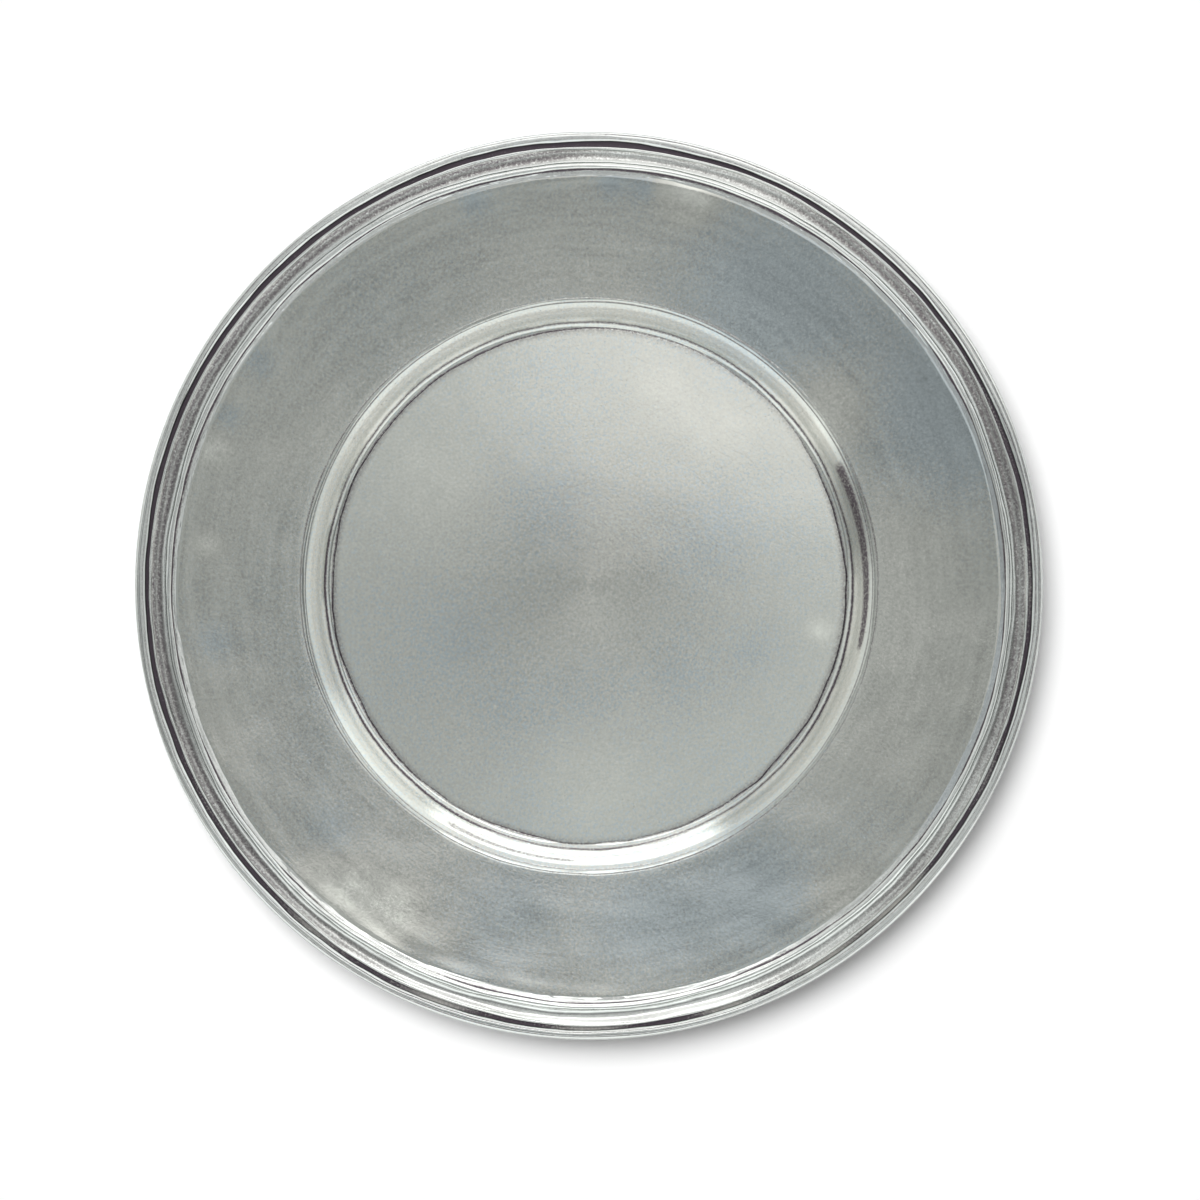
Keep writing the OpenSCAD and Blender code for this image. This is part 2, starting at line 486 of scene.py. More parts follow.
# Two levels of a pattern, and what it becomes at each where that isn't 0 and 1
WARM_SPAN = (0.2, 0.8)
PATCH_SHARE = (*NOISE_SPAN, 0.75, 1.25)
PIT_SHARE = (0.0, 0.32, 1.0, 0.0)
PITTED_SPAN = (0.5, 0.62)
# Painted highlights clear away dark, as polish does
WIPED_AND_LIT_SHARE = (0.0, 1.0, 1.0, 0.15)
MOTTLE_SHARE = (0.28, 0.6, 0.55, 1.2)
DULL_SPAN = (0.0, 0.6)
DARK_TARNISH_AND_REFLECTION_SPAN = (0.35, 0.95)
ANISOTROPY = 0.4
QUARTER_TURN = 0.25
print("height of the grain, mm:", GRAIN_HEIGHT)

# %% Pewter finish


def pewter(name, cool, warm, roughness, streak=1.0, pitting=0.0):
    """Pewter between two tones; streak and pitting are the strengths of its hand marks and of its pits."""
    material = bpy.data.materials.new(name)
    material.use_nodes = True
    tree = material.node_tree
    tree.nodes.clear()
    seen = metal_patterns(tree)
    tarnish, polish, shade = [add(tree, "ShaderNodeAttribute", {"attribute_name": key}, output="Fac")
                              for key in ("tarnish", "polish", "shade")]
    grain, streaks, hairlines = seen.grain - 0.5, seen.streaks - 0.5, seen.hairlines - 0.5
    turning = ease(seen.reach, *TURNING_SHARE) * streak
    centre = ease(seen.reach, *CENTRE_SHARE)
    sand = ease(seen.reach, *SAND_SHARE) * centre

    # Polish here also carries painted highlights and painted dark reflections into the warmth
    warmth = seen.drift * DRIFT_WARMTH + MEAN_WARMTH + polish * REFLECTION_AND_POLISH_WARMTH
    warmth = warmth + (seen.tinge - 0.5) * TINGE_WARMTH * sand
    colour = blend(ease(warmth, *WARM_SPAN), cool, warm)
    tone = 1.0 + grain * GRAIN_TONE * sand
    tone = tone + streaks * STREAK_TONE * turning + hairlines * HAIRLINE_TONE * turning
    # Painted highlights make the tone paler and painted dark reflections make it darker
    paler = polish.math("MAXIMUM", 0.0) * ease(seen.patches, *PATCH_SHARE) * SHEEN_AND_POLISH_TONE
    paler = paler + polish.math("MINIMUM", 0.0) * DARK_REFLECTION_AND_DULL_TONE
    tone = (tone - seen.rubbed * STROKE_TONE * streak) * (1.0 + paler - shade)
    tint = add(tree, "ShaderNodeCombineColor", None, {0: tone, 1: tone, 2: tone})
    colour = blend(1.0, colour, tint, "MULTIPLY")

    height = seen.hairlines * HAIRLINE_HEIGHT * turning + seen.grain * GRAIN_HEIGHT * centre
    height = height - seen.rubbed * STROKE_HEIGHT * streak
    if pitting:
        spread = {"Vector": seen.place, "Scale": PIT_PITCH}
        pits = add(tree, "ShaderNodeTexVoronoi", {"feature": "F1"}, spread)
        pit = ease(pits, *PIT_SHARE) * ease(seen.mottle, *PITTED_SPAN)
        tarnish = tarnish + pit * pitting
        height = height - pit * PIT_HEIGHT
    bump = add(tree, "ShaderNodeBump", None, {"Strength": 1.0, "Distance": MM, "Height": height})

    # Painted highlights clear away some of the dark, as polish does
    wiped_and_lit = ease(polish, *WIPED_AND_LIT_SHARE)
    # This dark is tarnish, and also the painted dark reflections on the wall
    dirt_and_dark_reflection = (tarnish * wiped_and_lit * ease(seen.mottle, *MOTTLE_SHARE)).math("MINIMUM", 1.0)
    colour = blend(ease(dirt_and_dark_reflection, *DULL_SPAN), colour, DULL)
    colour = blend(ease(dirt_and_dark_reflection, *DARK_TARNISH_AND_REFLECTION_SPAN), colour, DARK_TARNISH_AND_REFLECTION)
    rough = roughness + (seen.drift - 0.5) * DRIFT_ROUGH + streaks * STREAK_ROUGH * turning
    rough = rough + grain * GRAIN_ROUGH * centre + dirt_and_dark_reflection * DIRT_ROUGH
    shader = add(tree, "ShaderNodeBsdfPrincipled", None, {
        "Base Color": colour, "Metallic": 1.0, "Roughness": rough, "Normal": bump,
        "Anisotropic": ANISOTROPY, "Anisotropic Rotation": QUARTER_TURN})
    add(tree, "ShaderNodeOutputMaterial", None, {"Surface": shader})
    print(name, "finish has", len(tree.nodes), "nodes")
    return material


# %% Mix the four finishes
SHEET_TONES = ((0.466, 0.536, 0.551), (0.527, 0.553, 0.513))
CAST_TONES = ((0.510, 0.555, 0.560), (0.550, 0.580, 0.560))
TARNISHED_TONES = ((0.300, 0.300, 0.305), (0.380, 0.375, 0.350))
sheet_pewter = pewter("sheet_pewter", *SHEET_TONES, roughness=0.17, streak=1.0, pitting=0.3)
cast_pewter = pewter("cast_pewter", *CAST_TONES, roughness=0.20, streak=0.6, pitting=0.35)
soft_solder = pewter("soft_solder", *CAST_TONES, roughness=0.20, streak=0.5, pitting=0.1)
tarnished_solder = pewter("tarnished_solder", *TARNISHED_TONES, roughness=0.34, streak=0.4)

# %% [markdown]
# ## How the border wanders
#
# The rings were fitted by hand, so the whole border runs in and out a little. Every piece of the border
# takes its share from the same rule, which depends only on the distance from the axis, so faces that touch
# keep touching. The outer edge stays where it is.

# %% Shares of the wander
WANDER_FADE = 12 * MM
EDGE_FADE = 2 * MM
STRAND_STEP = 20 * MM
HAMMER_FROM = 0.1 * MM
HAMMER_FADE = 0.4 * MM


def border_wander(r, z=0.0):
    inner = (r - (solder_in - WANDER_FADE)) / WANDER_FADE
    outer = (charger_r - r) / EDGE_FADE
    return max(0.0, min(1.0, inner, outer))


def border_strand(r, z=0.0):
    return (charger_r - r) / STRAND_STEP


def border_hammer(r, z):
    """Waves fade out towards the seat, so that the joint stays true."""
    return max(0.0, min(1.0, (z - seat_z - HAMMER_FROM) / HAMMER_FADE))


def dark_spots(spots):
    """A rule for dark tarnished crevices, each (r, z, reach, strength)."""
    def darkness(r, z):
        return max(s * math.exp(-(math.dist((r, z), (a, b)) / reach) ** 2) for a, b, reach, s in spots)
    return darkness


ring_shares = {"wander": border_wander, "strand": border_strand, "hammer": border_hammer}
wander_end = charger_r - EDGE_FADE
print("the border wanders fully from", round(solder_in / MM, 1), "to", round(wander_end / MM, 1), "mm")

# %% [markdown]
# ## The dish
#
# One sheet makes the well, the booge and the rim. Both faces follow the same arcs, offset by the thickness
# of the sheet. The upper face carries four scribed lines, two at the foot of the booge and two on its head,
# so its stations crowd together there and each line has real depth. The lines were cut by hand and wander,
# the innermost one most.

# %% Heights of the sheet
foot_c = (well_r, sheet_t + foot_r)
foot_end = (foot_c[0] + foot_r * math.sin(booge_slope), foot_c[1] - foot_r * math.cos(booge_slope))
head_rise = head_r * (math.cos(rim_slope_in) - math.cos(booge_slope))
straight_rise = sheet_t + well_depth - head_rise - foot_end[1]
head_start = (foot_end[0] + straight_rise / math.tan(booge_slope), foot_end[1] + straight_rise)
head_c = (head_start[0] + head_r * math.sin(booge_slope), head_start[1] - head_r * math.cos(booge_slope))
rim_start = (head_c[0] - head_r * math.sin(rim_slope_in), head_c[1] + head_r * math.cos(rim_slope_in))
seat_in = solder_in - seat_margin
rim_end_r = seat_in - knee_r * math.sin(rim_slope_out)
rim_r = (rim_end_r - rim_start[0]) / (math.sin(rim_slope_out) - math.sin(rim_slope_in))
rim_c = (rim_start[0] - rim_r * math.sin(rim_slope_in), rim_start[1] + rim_r * math.cos(rim_slope_in))
knee_c = (seat_in, seat_z - knee_r)
print("the wall's straight rises", round(straight_rise / MM, 2), "mm")

# %% Faces of the sheet
WALL_BOW = 0.02 * MM
FOOT_STEPS, WALL_STEPS, HEAD_STEPS, RIM_STEPS, KNEE_STEPS = 10, 12, 14, 26, 4
TOP_WELL_STEPS, UNDER_WELL_STEPS = 34, 12


def wall_between(low, high):
    """The straight of the wall, spun a little steeper in its middle than at its ends."""
    points = []
    for t in [i / WALL_STEPS for i in range(1, WALL_STEPS)]:
        bow = WALL_BOW * math.sin(2 * math.pi * t) * math.sin(math.pi * t) ** 2
        points.append((low[0] + (high[0] - low[0]) * t + bow * math.sin(booge_slope),
                       low[1] + (high[1] - low[1]) * t - bow * math.cos(booge_slope)))
    return points


def sheet_face(depth, well_steps):
    """One face of the sheet from the axis outwards, this far below the upper face."""
    quarter = math.pi / 2
    foot = arc(foot_c, foot_r + depth, -quarter, booge_slope - quarter, FOOT_STEPS)
    head = arc(head_c, head_r - depth, booge_slope + quarter, rim_slope_in + quarter, HEAD_STEPS)
    return (
        [(well_r * i / well_steps, sheet_t - depth) for i in range(well_steps)]
        + foot + wall_between(foot[-1], head[0]) + head
        + arc(rim_c, rim_r + depth, rim_slope_in - quarter, rim_slope_out - quarter, RIM_STEPS)[1:]
        + arc(knee_c, knee_r - depth, rim_slope_out + quarter, quarter, KNEE_STEPS)[1:]
        + [(edge_r, seat_z - depth)])


def height_on(face, r):
    """Height of a face at this distance from the axis."""
    for (r0, z0), (r1, z1) in zip(face, face[1:]):
        if r0 <= r <= r1:
            return z0 + (z1 - z0) * (r - r0) / (r1 - r0)
    return face[-1][1]


top_face = sheet_face(0.0, TOP_WELL_STEPS)
under_face = sheet_face(sheet_t, UNDER_WELL_STEPS)
under_face = under_face[:-1:2] + under_face[-1:]
print("stations on the upper face:", len(top_face), "and on the under face:", len(under_face))

# %% Scribed lines
ScribedLine = namedtuple("ScribedLine", "radius depth tarnish reach wander strand")
SCRIBED = [
    ScribedLine(well_r, 1.0, 0.85, 0.50 * MM, 1.6, 2.0),
    ScribedLine(foot_end[0], 0.8, 1.0, 0.48 * MM, 0.6, 4.0),
    ScribedLine(head_c[0] - head_r * math.sin(lower_line_slope), 0.5, 0.5, 0.26 * MM, 0.5, 6.0),
    ScribedLine(head_c[0] - head_r * math.sin(upper_line_slope), 0.7, 0.5, 0.48 * MM, 0.7, 8.0),
]
LINE_STATIONS = [i / 3 * line_half for i in range(-5, 6)]
LINE_CLEAR = 1.8 * line_half
LINE_SWAY = 1.1 * MM
GROOVE_EDGE = 2.2


def with_stations(face):
    """The face with its stations crowded together at each line."""
    stations = {r for r, _ in face if all(abs(r - line.radius) > LINE_CLEAR for line in SCRIBED)}
    stations |= {line.radius + step for line in SCRIBED for step in LINE_STATIONS}
    return [(r, height_on(face, r)) for r in sorted(stations)]


def on_top(r, z):
    return z > height_on(top_face, r) - sheet_t / 2


def nearest_line(r):
    return min(SCRIBED, key=lambda line: abs(r - line.radius))


def near(r, line):
    """From 1 on a line to 0 where its sway ends."""
    return max(0.0, 1.0 - abs(r - line.radius) / LINE_SWAY)


print("scribed lines at, mm:", [round(line.radius / MM, 2) for line in SCRIBED])

# %% Shares of the dish
RIM_WAVES_FADE = 6 * MM
WELL_HAMMER = 0.5


def dish_hammer(r, z):
    if not on_top(r, z) and r < well_r + foot_r:
        return 0.0
    rim = min(1.0, max(0.0, (r - rim_start[0]) / RIM_WAVES_FADE))
    fade = min(1.0, max(0.0, (solder_in - r) / RIM_WAVES_FADE))
    return (WELL_HAMMER + (1.0 - WELL_HAMMER) * rim) * fade


def dish_wander(r, z):
    line = nearest_line(r)
    sway = near(r, line) * line.wander if on_top(r, z) else 0.0
    return max(border_wander(r), sway)


def dish_strand(r, z):
    line = nearest_line(r)
    return line.strand if near(r, line) else border_strand(r)


def dish_groove(r, z):
    line = nearest_line(r)
    off = (r - line.radius) / line_half
    return line.depth * math.exp(-GROOVE_EDGE * off ** 2) if on_top(r, z) else 0.0


def dish_tarnish(r, z):
    line = nearest_line(r)
    off = (r - line.radius) / line.reach
    return line.tarnish * math.exp(-off ** 2) if on_top(r, z) else 0.0


dish_shares = {"wander": dish_wander, "strand": dish_strand, "hammer": dish_hammer, "groove": dish_groove,
               "tarnish": dish_tarnish}
print("the foot line is", dish_tarnish(well_r, sheet_t), "tarnished")

# %% Turn the dish
dish_section = with_stations(top_face) + under_face[::-1]
dish_lathe = {
    "Facets": 480, "Wave depth": 0.36 * MM, "Wave top": 0.5, "Waves per metre": 36.0,
    "Line depth": 0.2 * MM, "Line wear": 0.4}
dish = turn_piece(
    "dish", dish_section, "sheet_pewter", sheet_pewter, dish_shares, closed=False, **dish_lathe)

# %% [markdown]
# ## Painted dark reflections
#
# Dark reflections are painted along the wall: a long dark one, a faint one, and a wide bloom across the
# back.
# They are added to the tarnish that the lathe has stored.

# %% Paint dark reflections on the wall
Stain = namedtuple("Stain", "radius thin thick start end strength")
# Each row paints a dark reflection along the wall
PAINTED_REFLECTIONS = [
    Stain(101.2, 0.6, 1.3, -14, 27, 0.7),
    Stain(100.6, 0.3, 0.6, 268, 238, 0.45),
    Stain(100.6, 2.4, 2.4, 35, 150, 0.16),
]
PAINTED_REFLECTION_TIP = 2.0
PAINTED_REFLECTION_TOP = 2.0


def paint_reflections_over(piece, stains):
    """Adds painted dark reflections to the upper face's darkening; radii and widths in millimetres, ends in
    degrees.
    """
    marks = piece.data.attributes["tarnish"].data
    for vertex, mark in zip(piece.data.vertices, marks):
        r = math.hypot(vertex.co.x, vertex.co.y)
        turn = math.degrees(math.atan2(vertex.co.y, vertex.co.x))
        if not on_top(r, vertex.co.z):
            continue
        for painted_reflection in stains:
            length = painted_reflection.end - painted_reflection.start
            along = ((turn - painted_reflection.start) * math.copysign(1, length)) % 360 / abs(length)
            ends = min(along, 1.0 - along) * abs(length) / PAINTED_REFLECTION_TIP
            half_width = painted_reflection.thin + (painted_reflection.thick - painted_reflection.thin) * along
            across = min(1.0, PAINTED_REFLECTION_TOP * math.exp(-((r / MM - painted_reflection.radius) / half_width) ** 2))
            mark.value += painted_reflection.strength * across * min(1.0, max(0.0, ends))


paint_reflections_over(dish, PAINTED_REFLECTIONS)
print("stains:", len(PAINTED_REFLECTIONS))

# %% [markdown]
# ## Clouds of painted reflection and polish
#
# The rim's colour is darkened a little, more towards the border.
# The clouds paint reflections into the colour, with some uneven polish besides: pale warm ones are painted
# highlights and sheen, cool dark ones painted dark reflections and dull metal. Each cloud is a soft spot,
# given by its middle and reach in millimetres. Shade and clouds are kept on the mesh as attributes, and the
# finish makes the pale ones patchy.

# %% Cloud the dish
Cloud = namedtuple("Cloud", "x y reach shift")
RIM_SHADE = 0.155
SHADE_FROM, SHADE_FADE = 95, 48
# Painted highlights, sheen and dark reflections on the rim, with some uneven polish
RIM_CLOUDS = [
    Cloud(90, 66, 18, 0.7), Cloud(115, 9, 18, 0.2), Cloud(102, -89, 20, -0.3), Cloud(94, -113, 13, 0.6),
    Cloud(-99, -104, 7, 0.7), Cloud(-88, -112, 8, 2.3), Cloud(-72, -118, 9, 2.4),
    Cloud(-52, -128, 8, 0.3), Cloud(-136, 49, 5, 1.3), Cloud(-139, 15, 4, 1.0), Cloud(36, 143, 9, 2.1),
    Cloud(85, -16, 4, 1.4), Cloud(66, 104, 32, -1.0), Cloud(131, 67, 32, -1.0),
    Cloud(130, -30, 26, 0.4), Cloud(-27, -121, 22, -0.4), Cloud(18, -125, 22, -0.8),
    Cloud(60, -110, 26, -0.8), Cloud(-94, -89, 9, -0.5), Cloud(-136, -20, 7, -0.5),
    Cloud(-120, 82, 6, -0.6), Cloud(-131, 62, 5, -0.6), Cloud(-42, 140, 5, -0.6),
    Cloud(8, 147, 5, -0.7), Cloud(20, 145, 5, -0.7), Cloud(32, 140, 5, -0.7),
]
# Painted reflections in the well, such as a dark band below the middle and a paler upper right
WELL_CLOUDS = [
    Cloud(-28, -43, 14, -0.4), Cloud(2, -39, 15, -0.4), Cloud(32, -33, 15, -0.4),
    Cloud(60, -26, 11, -0.35), Cloud(28, 71, 14, 0.45), Cloud(50, 60, 14, 0.45),
    Cloud(-20, 28, 18, -0.3), Cloud(-56, 36, 22, 0.35), Cloud(-50, -20, 16, -0.3),
    Cloud(10, 5, 20, 0.3), Cloud(45, 20, 16, -0.3), Cloud(0, -70, 18, 0.3),
]


def cloud_over(piece, clouds_on_it, top_only=False):
    """Stores how far each point is painted off its mean: above 0 paler, as painted highlight and polish,
    below 0 cooler and darker, as painted dark reflection and dull metal.
    """
    shifts = []
    for vertex in piece.data.vertices:
        spot = (vertex.co.x / MM, vertex.co.y / MM)
        shift = 0.0
        if not top_only or on_top(math.hypot(*spot) * MM, vertex.co.z):
            for x, y, reach, strength in clouds_on_it:
                shift += strength * math.exp(-(math.dist(spot, (x, y)) / reach) ** 2)
        shifts.append(shift)
    piece.data.attributes.new("polish", "FLOAT", "POINT").data.foreach_set("value", shifts)
    print(piece.name, "polish from", round(min(shifts), 2), "to", round(max(shifts), 2))


def shade_rim(piece):
    """Stores how much darker the rim is made than the well; it deepens from the wall outwards."""
    reaches = [math.hypot(vertex.co.x, vertex.co.y) / MM for vertex in piece.data.vertices]
    shades = [RIM_SHADE * min(1.0, max(0.0, (r - SHADE_FROM) / SHADE_FADE)) for r in reaches]
    piece.data.attributes.new("shade", "FLOAT", "POINT").data.foreach_set("value", shades)
    print(piece.name, "shade up to", round(max(shades), 3))


cloud_over(dish, RIM_CLOUDS + WELL_CLOUDS, top_only=True)
shade_rim(dish)

# %% [markdown]
# ## The cast moulding
#
# The moulding is a ring with a reed, a narrow fillet and a cove that rises to a crest. Its corners are
# softened, and tarnish lies beside the reed, in the cove and down the outer wall, which is one side of the
# dark channel.

# %% Draw the moulding
REED_STEPS, COVE_STEPS, CREST_STEPS = 18, 24, 6
REED_CUT, FILLET_CUT, COVE_CUT, CREST_CUT = 0.1 * MM, 0.12 * MM, 0.16 * MM, 0.29 * MM
CREST_WALL = 0.7 * MM
reed_start = (moulding_in, seat_z + wall_h)
reed_end = (moulding_in + reed_w, seat_z + wall_h)
fillet_start = (reed_end[0], reed_end[1] + fillet_rise)
fillet_end = (fillet_start[0] + fillet_w, fillet_start[1])
crest_in = (moulding_out - crest_w, crest_z)
crest_out = (moulding_out, crest_z)
moulding_foot = (moulding_out, seat_z)
reed = bowed(reed_start, reed_end, reed_rise, REED_STEPS)
cove = bowed(fillet_end, crest_in, -cove_sag, COVE_STEPS)
moulding_section = (
    [(moulding_in, seat_z)]
    + reed[:-1]
    + softened(reed[-2], reed_end, fillet_start, REED_CUT)
    + softened(reed_end, fillet_start, fillet_end, FILLET_CUT)
    + softened(fillet_start, fillet_end, cove[2], COVE_CUT)
    + cove[2:-2]
    + softened(cove[-3], crest_in, crest_out, CREST_CUT, CREST_STEPS)
    + softened(crest_in, crest_out, moulding_foot, CREST_CUT, CREST_STEPS)
    + [(moulding_out, crest_z - CREST_WALL), moulding_foot])
print("moulding", round((moulding_out - moulding_in) / MM, 2), "mm wide")

# %% Turn the moulding
RING_FACETS = 900
CAST_LATHE = {"Facets": RING_FACETS, "Wave depth": 0.14 * MM, "Waves per metre": 170.0}
COVE_FLANK_STEP = 17
cove_low = min(cove, key=lambda point: point[1])
moulding_dark = dark_spots([
    (*reed_start, 0.36 * MM, 1.0),
    (*reed_end, 0.2 * MM, 0.4),
    (*cove_low, 1.3 * MM, 0.6),
    (*cove[COVE_FLANK_STEP], 1.2 * MM, 0.6),
    (moulding_out, fill_z, 0.8 * MM, 3.0)])
moulding = turn_piece(
    "rim_moulding", moulding_section, "cast_pewter", cast_pewter, {**ring_shares, "tarnish": moulding_dark},
    **CAST_LATHE)
# Painted reflection on the cove: paler and cleaner along the bottom, the right and the top
COVE_CLOUDS = [
    Cloud(-100, -120, 22, 0.3), Cloud(-60, -145, 26, 0.7), Cloud(-10, -156, 26, 1.0),
    Cloud(40, -151, 26, 0.9), Cloud(90, -128, 26, 0.6), Cloud(135, -78, 32, 0.5),
    Cloud(156, 0, 34, 0.25), Cloud(60, 144, 30, 0.4), Cloud(15, 155, 26, 0.5),
]
cloud_over(moulding, COVE_CLOUDS)

# %% [markdown]
# ## The edge bead
#
# The bead is a slightly flattened half round, with two fine lines left by the turning tool, and has a short
# skirt that drops past the cut edge of the sheet. Its rebate sits on the sheet.

# %% Draw the bead
BEAD_RISE = 1.3 * MM
BEAD_LINE_HALF = 0.22 * MM
BEAD_STEPS, SKIRT_STEPS = 30, 8
bead_half = (charger_r - bead_in) / 2
bead_mid = charger_r - bead_half
skirt_c = (charger_r - skirt_r, skirt_z + skirt_r)
bead_lines = [math.pi / 2 + side * math.asin(bead_line_off / bead_half) for side in (1, -1)]
line_turn = BEAD_LINE_HALF / bead_half
turns = {math.pi * i / BEAD_STEPS for i in range(BEAD_STEPS + 1)}
turns = {t for t in turns if all(abs(t - line) > 2 * line_turn for line in bead_lines)}
turns |= {line + line_turn * i / 3 for line in bead_lines for i in range(-6, 7)}
bead_round = [(bead_mid + bead_half * math.cos(t), bead_top - BEAD_RISE * (1.0 - math.sin(t)))
              for t in sorted(turns, reverse=True)]
bead_section = (
    [(skirt_in, skirt_z), (skirt_in, seat_z), (bead_in, seat_z)]
    + bead_round
    + arc(skirt_c, skirt_r, 0.0, -math.pi / 2, SKIRT_STEPS))
print("bead", round(2 * bead_half / MM, 2), "mm wide, with", len(bead_round), "points on its round")

# %% Turn the bead
BEAD_LINE_TARNISH = 0.9
channel_side = dark_spots([(bead_in, fill_z, 0.5 * MM, 1.0)])


def bead_groove(r, z):
    turn = math.atan2(1.0 - (bead_top - z) / BEAD_RISE, (r - bead_mid) / bead_half)
    return max(math.exp(-GROOVE_EDGE * ((turn - line) / line_turn) ** 2) for line in bead_lines)


def bead_dark(r, z):
    return max(BEAD_LINE_TARNISH * bead_groove(r, z), channel_side(r, z))


bead_shares = {**ring_shares, "groove": bead_groove, "tarnish": bead_dark}
bead_lathe = {**CAST_LATHE, "Line depth": 0.12 * MM, "Line wear": 0.5}
turn_piece("edge_bead", bead_section, "cast_pewter", cast_pewter, bead_shares, **bead_lathe)

# %% [markdown]
# ## Solder
#
# Soft solder joins the rings to the sheet. Inside the moulding it was scraped to a hollow slope, in the
# channel it lies dark and dull, and under the rim it fills the corner behind the bead's skirt.

# %% Solder inside the moulding
SLOPE_STEPS, FILL_STEPS, UNDER_STEPS = 10, 8, 6
TOE_T = 0.05 * MM
SLOPE_DROP = 0.02 * MM
SLOPE_HOLLOW = 0.015 * MM
TOE_SWAY, TOE_STRAND = 0.4, 0.6
toe = (solder_in, seat_z + TOE_T)
slope_top = (moulding_in, seat_z + wall_h - SLOPE_DROP)
slope = bowed(toe, slope_top, -SLOPE_HOLLOW, SLOPE_STEPS)


def toe_share(r):
    """From 0 at the moulding to 1 at the solder's thin toe, which runs as it likes."""
    return (moulding_in - r) / (moulding_in - solder_in)


slope_shares = {
    "wander": lambda r, z: border_wander(r) + TOE_SWAY * toe_share(r),
    "strand": lambda r, z: border_strand(r) + TOE_STRAND * toe_share(r),
    "tarnish": dark_spots([(*slope_top, 0.32 * MM, 1.4)])}
inner_solder = turn_piece(
    "inner_solder", [(moulding_in, seat_z), (solder_in, seat_z)] + slope, "soft_solder", soft_solder,
    slope_shares, Facets=RING_FACETS)
# Painted shade on the right and lower right of the slope, and a painted highlight at its lower left
SLOPE_CLOUDS = [Cloud(152, 30, 50, -2.6), Cloud(140, -60, 30, -1.6), Cloud(-78, -133, 30, 1.4)]
cloud_over(inner_solder, SLOPE_CLOUDS)

# %% Solder in the channel
FILL_HOLLOW = 0.1 * MM
fill_corners = [(moulding_out, fill_z), (bead_in, fill_z)]
fill_floor = bowed(*fill_corners, -FILL_HOLLOW, FILL_STEPS)
fill_shares = {
    "wander": border_wander, "strand": border_strand,
    "tarnish": dark_spots([(*corner, 1.2 * MM, 1.7) for corner in fill_corners])}
channel_solder = turn_piece(
    "channel_solder", [(bead_in, seat_z), (moulding_out, seat_z)] + fill_floor, "tarnished_solder",
    tarnished_solder, fill_shares, Facets=RING_FACETS)
# Painted reflection along the bottom and the right of the channel, and painted shade at its upper left and
# left
CHANNEL_CLOUDS = [
    Cloud(-140, -80, 24, 0.5), Cloud(-100, -125, 22, 0.7), Cloud(-55, -150, 22, 0.8),
    Cloud(0, -160, 22, 0.8), Cloud(50, -152, 18, 0.8), Cloud(85, -136, 18, 0.8),
    Cloud(113, -113, 20, 0.9), Cloud(145, -68, 20, 0.6), Cloud(160, 0, 26, 0.6),
    Cloud(148, 62, 24, 0.5), Cloud(-142, 80, 34, -4.0), Cloud(-163, 20, 26, -2.6),
]
cloud_over(channel_solder, CHANNEL_CLOUDS)

# %% Solder under the rim
UNDER_HOLLOW = 0.08 * MM
under_run = bowed((skirt_in, under_low), (under_in, under_z), -UNDER_HOLLOW, UNDER_STEPS)
under_shares = {"wander": border_wander, "strand": border_strand}
turn_piece(
    "under_solder", [(skirt_in, under_z)] + under_run, "soft_solder", soft_solder, under_shares,
    Facets=RING_FACETS)

# %% [markdown]
# ## Floor and light
#
# The charger lies on white paper. A soft lamp high on the left throws the shadow that shows along the lower
# right of the edge. For the camera and for reflections the paper gives a little light of its own, so that
# it reads as white.
#
# Metal shows only what it mirrors, so the rest of the light is a studio to mirror. Softboxes and walls that
# stand well away are painted on the world. The softbox at the back is brightest in a low strip, which the
# wall of the dish mirrors, and in a high one for the slope of solder. The well and the rim mirror what
# hangs close round the camera, and those lamps are real ones, because their distance decides how fast the
# light falls off across the plate.

# %% Paper floor
FLOOR_HALF = 2.0
PAPER_COLOUR = (0.8, 0.8, 0.8, 1.0)
PAPER_LIFT = 0.22
WHITE = (1.0, 1.0, 1.0, 1.0)


def paper():
    material = bpy.data.materials.new("paper")
    material.use_nodes = True
    tree = material.node_tree
    tree.nodes.clear()
    rays = add(tree, "ShaderNodeLightPath").socket.node
    seen = [Wire(rays.outputs[name]) for name in ("Is Camera Ray", "Is Glossy Ray", "Is Transmission Ray")]
    shown = (seen[0] + seen[1] + seen[2]).math("MINIMUM", 1.0)
    diffuse = add(tree, "ShaderNodeBsdfDiffuse", None, {"Color": PAPER_COLOUR})
    lift = add(tree, "ShaderNodeEmission", None, {"Color": WHITE, "Strength": shown * PAPER_LIFT})
    both = add(tree, "ShaderNodeAddShader", None, {0: diffuse, 1: lift})
    add(tree, "ShaderNodeOutputMaterial", None, {"Surface": both})
    return material


floor_mesh = bpy.data.meshes.new("floor")
corners = [(-1, -1), (1, -1), (1, 1), (-1, 1)]
floor_mesh.from_pydata([(a * FLOOR_HALF, b * FLOOR_HALF, 0.0) for a, b in corners], [], [(0, 1, 2, 3)])
floor = bpy.data.objects.new("floor", floor_mesh)
floor_mesh.materials.append(paper())
bpy.context.scene.collection.objects.link(floor)
print("floor", 2 * FLOOR_HALF, "m wide")

# %% Lamp for the shadow
LAMP_AZIMUTH = math.radians(127)
LAMP_FROM_ABOVE = math.radians(27)
LAMP_WIDTH = math.radians(40)
LAMP_STRENGTH = 3.5
soft_sun = bpy.data.lights.new("soft_lamp", "SUN")
soft_sun.energy = LAMP_STRENGTH
soft_sun.angle = LAMP_WIDTH
lamp = bpy.data.objects.new("soft_lamp", soft_sun)
lamp.rotation_euler = (0.0, LAMP_FROM_ABOVE, LAMP_AZIMUTH)
lamp.visible_glossy = False
bpy.context.scene.collection.objects.link(lamp)
print("soft lamp", round(math.degrees(LAMP_FROM_ABOVE)), "degrees off the vertical")

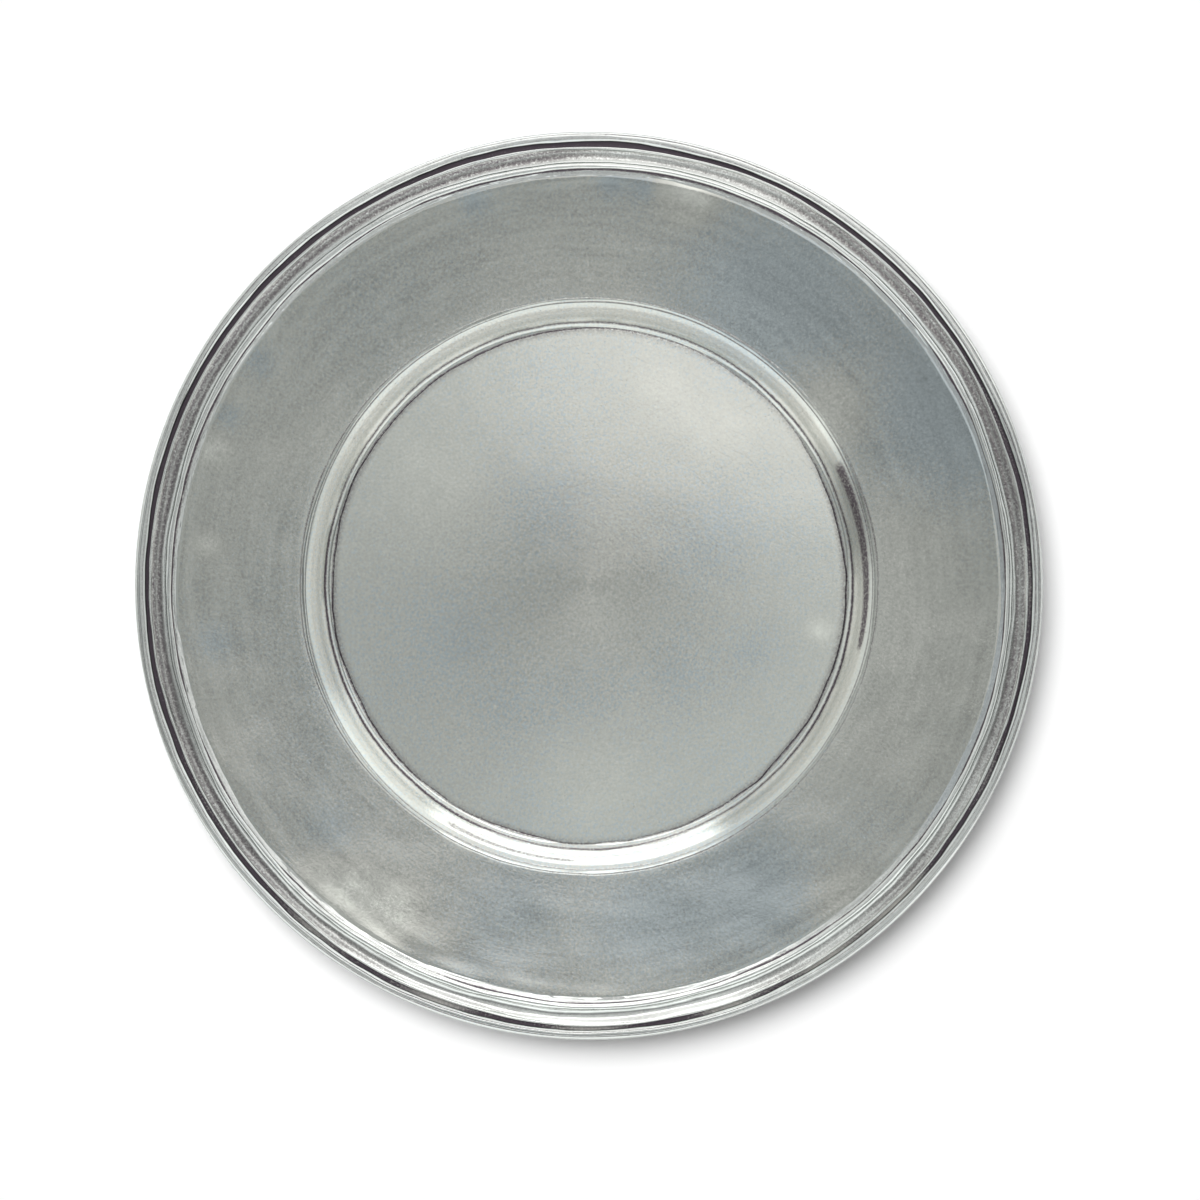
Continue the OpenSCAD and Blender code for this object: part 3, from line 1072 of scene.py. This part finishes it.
# %% Lamps round the camera
Softbox = namedtuple("Softbox", "x y width depth brightness colour")
OVERHEAD_Z = 1.4
NEUTRAL = (1.0, 1.0, 1.0)
WARM = (1.0, 0.95, 0.945)
# Middles and sizes are in metres
OVERHEAD = [
    Softbox(0.285, 0.285, 0.44, 0.44, 1.2, WARM),
    Softbox(0.0, 0.285, 0.13, 0.44, 1.1, WARM),
    Softbox(-0.285, 0.285, 0.44, 0.44, 0.6, NEUTRAL),
    Softbox(-0.285, -0.22, 0.44, 0.57, 0.45, NEUTRAL),
    Softbox(0.0, -0.285, 0.13, 0.44, 0.7, NEUTRAL),
    Softbox(0.285, -0.22, 0.44, 0.57, 0.65, NEUTRAL),
]
for box in OVERHEAD:
    light = bpy.data.lights.new("overhead_lamp", "AREA")
    light.shape = "RECTANGLE"
    light.color = box.colour
    light.size = box.width
    light.size_y = box.depth
    light.energy = box.brightness * math.pi * box.width * box.depth
    overhead = bpy.data.objects.new("overhead_lamp", light)
    overhead.location = (box.x, box.y, OVERHEAD_Z)
    overhead.visible_camera = False
    overhead.visible_diffuse = False
    bpy.context.scene.collection.objects.link(overhead)
print("overhead lamps:", len(OVERHEAD))

# %% Studio light on the world
Panel = namedtuple("Panel", "azimuth half_width low high softness brightness")
HORIZON = (1.0, 0.952, 0.925)
SOFTBOX_TINT = (1.0, 0.965, 0.96)
WALLS = 0.6
CEILING = 0.2
# Levels of a direction's upward share, from 0 at the horizon to 1 overhead
CEILING_SPAN = (0.6, 0.9)
HORIZON_SPAN = (0.05, 0.45)
LEAST = 0.001
# Angles are in degrees, and the softbox at the back is the first three
PANELS = [
    Panel(87, 30, -10, 75, 4, 0.8),
    Panel(87, 30, -10, 11, 4, 2.2),
    Panel(87, 30, 58, 75, 4, 1.7),
    Panel(42, 16, -10, 62, 6, 0.6),
    Panel(267, 60, 4, 56, 8, 1.0),
    Panel(10, 45, -10, 45, 8, 0.5),
    Panel(150, 34, -10, 60, 6, 0.5),
]


def studio():
    world = bpy.data.worlds.new("studio")
    world.use_nodes = True
    tree = world.node_tree
    tree.nodes.clear()
    dx, dy, dz = parts_of(add(tree, "ShaderNodeTexCoord", output="Generated"))
    flat = (dx * dx + dy * dy).math("SQRT").math("MAXIMUM", LEAST)
    level = ease(dz, *CEILING_SPAN, WALLS, CEILING)
    shapes = []
    for panel in PANELS:
        middle = math.radians(panel.azimuth)
        facing = (dx * math.cos(middle) + dy * math.sin(middle)) / flat
        soft = panel.softness
        sides = [math.cos(math.radians(panel.half_width + edge)) for edge in (soft, -soft)]
        foot = [math.sin(math.radians(panel.low + edge)) for edge in (-soft, soft)]
        head = [math.sin(math.radians(panel.high + edge)) for edge in (-soft, soft)]
        shape = ease(facing, *sides) * ease(dz, *foot) * ease(dz, *head, 1.0, 0.0)
        level = level + shape * panel.brightness
        shapes.append(shape)
    colour = blend(ease(dz, *HORIZON_SPAN), HORIZON, NEUTRAL)
    colour = blend(shapes[0], colour, SOFTBOX_TINT)
    room = add(tree, "ShaderNodeBackground", None, {"Color": colour, "Strength": level})
    white = add(tree, "ShaderNodeBackground", None, {"Color": WHITE, "Strength": 1.0})
    camera_ray = add(tree, "ShaderNodeLightPath", output="Is Camera Ray")
    shown = add(tree, "ShaderNodeMixShader", None, {0: camera_ray, 1: room, 2: white})
    add(tree, "ShaderNodeOutputWorld", None, {"Surface": shown})
    return world


scene = bpy.context.scene
scene.world = studio()
scene.world.cycles_visibility.diffuse = False
scene.view_settings.view_transform = "Standard"
print("studio panels:", len(PANELS))

# %% [markdown]
# ## Camera
#
# The photograph looks straight down, with the charger a little left of and above the middle of the frame,
# so the camera hangs that far to the right of and below the axis. A long lens keeps the rim's height from
# spreading its circles.

# %% Hang the camera
LENS = 120.0
SENSOR = 36.0
FRAME_WIDTH = 435.6 * MM
AXIS_LEFT = 4.0 * MM
AXIS_ABOVE = 5.15 * MM
eye = bpy.data.cameras.new("camera")
eye.lens = LENS
eye.sensor_width = SENSOR
camera = bpy.data.objects.new("camera", eye)
camera.location = (AXIS_LEFT, -AXIS_ABOVE, bead_top + FRAME_WIDTH * LENS / SENSOR)
bpy.context.scene.collection.objects.link(camera)
scene.camera = camera
print("camera height, m:", round(camera.location.z, 3))
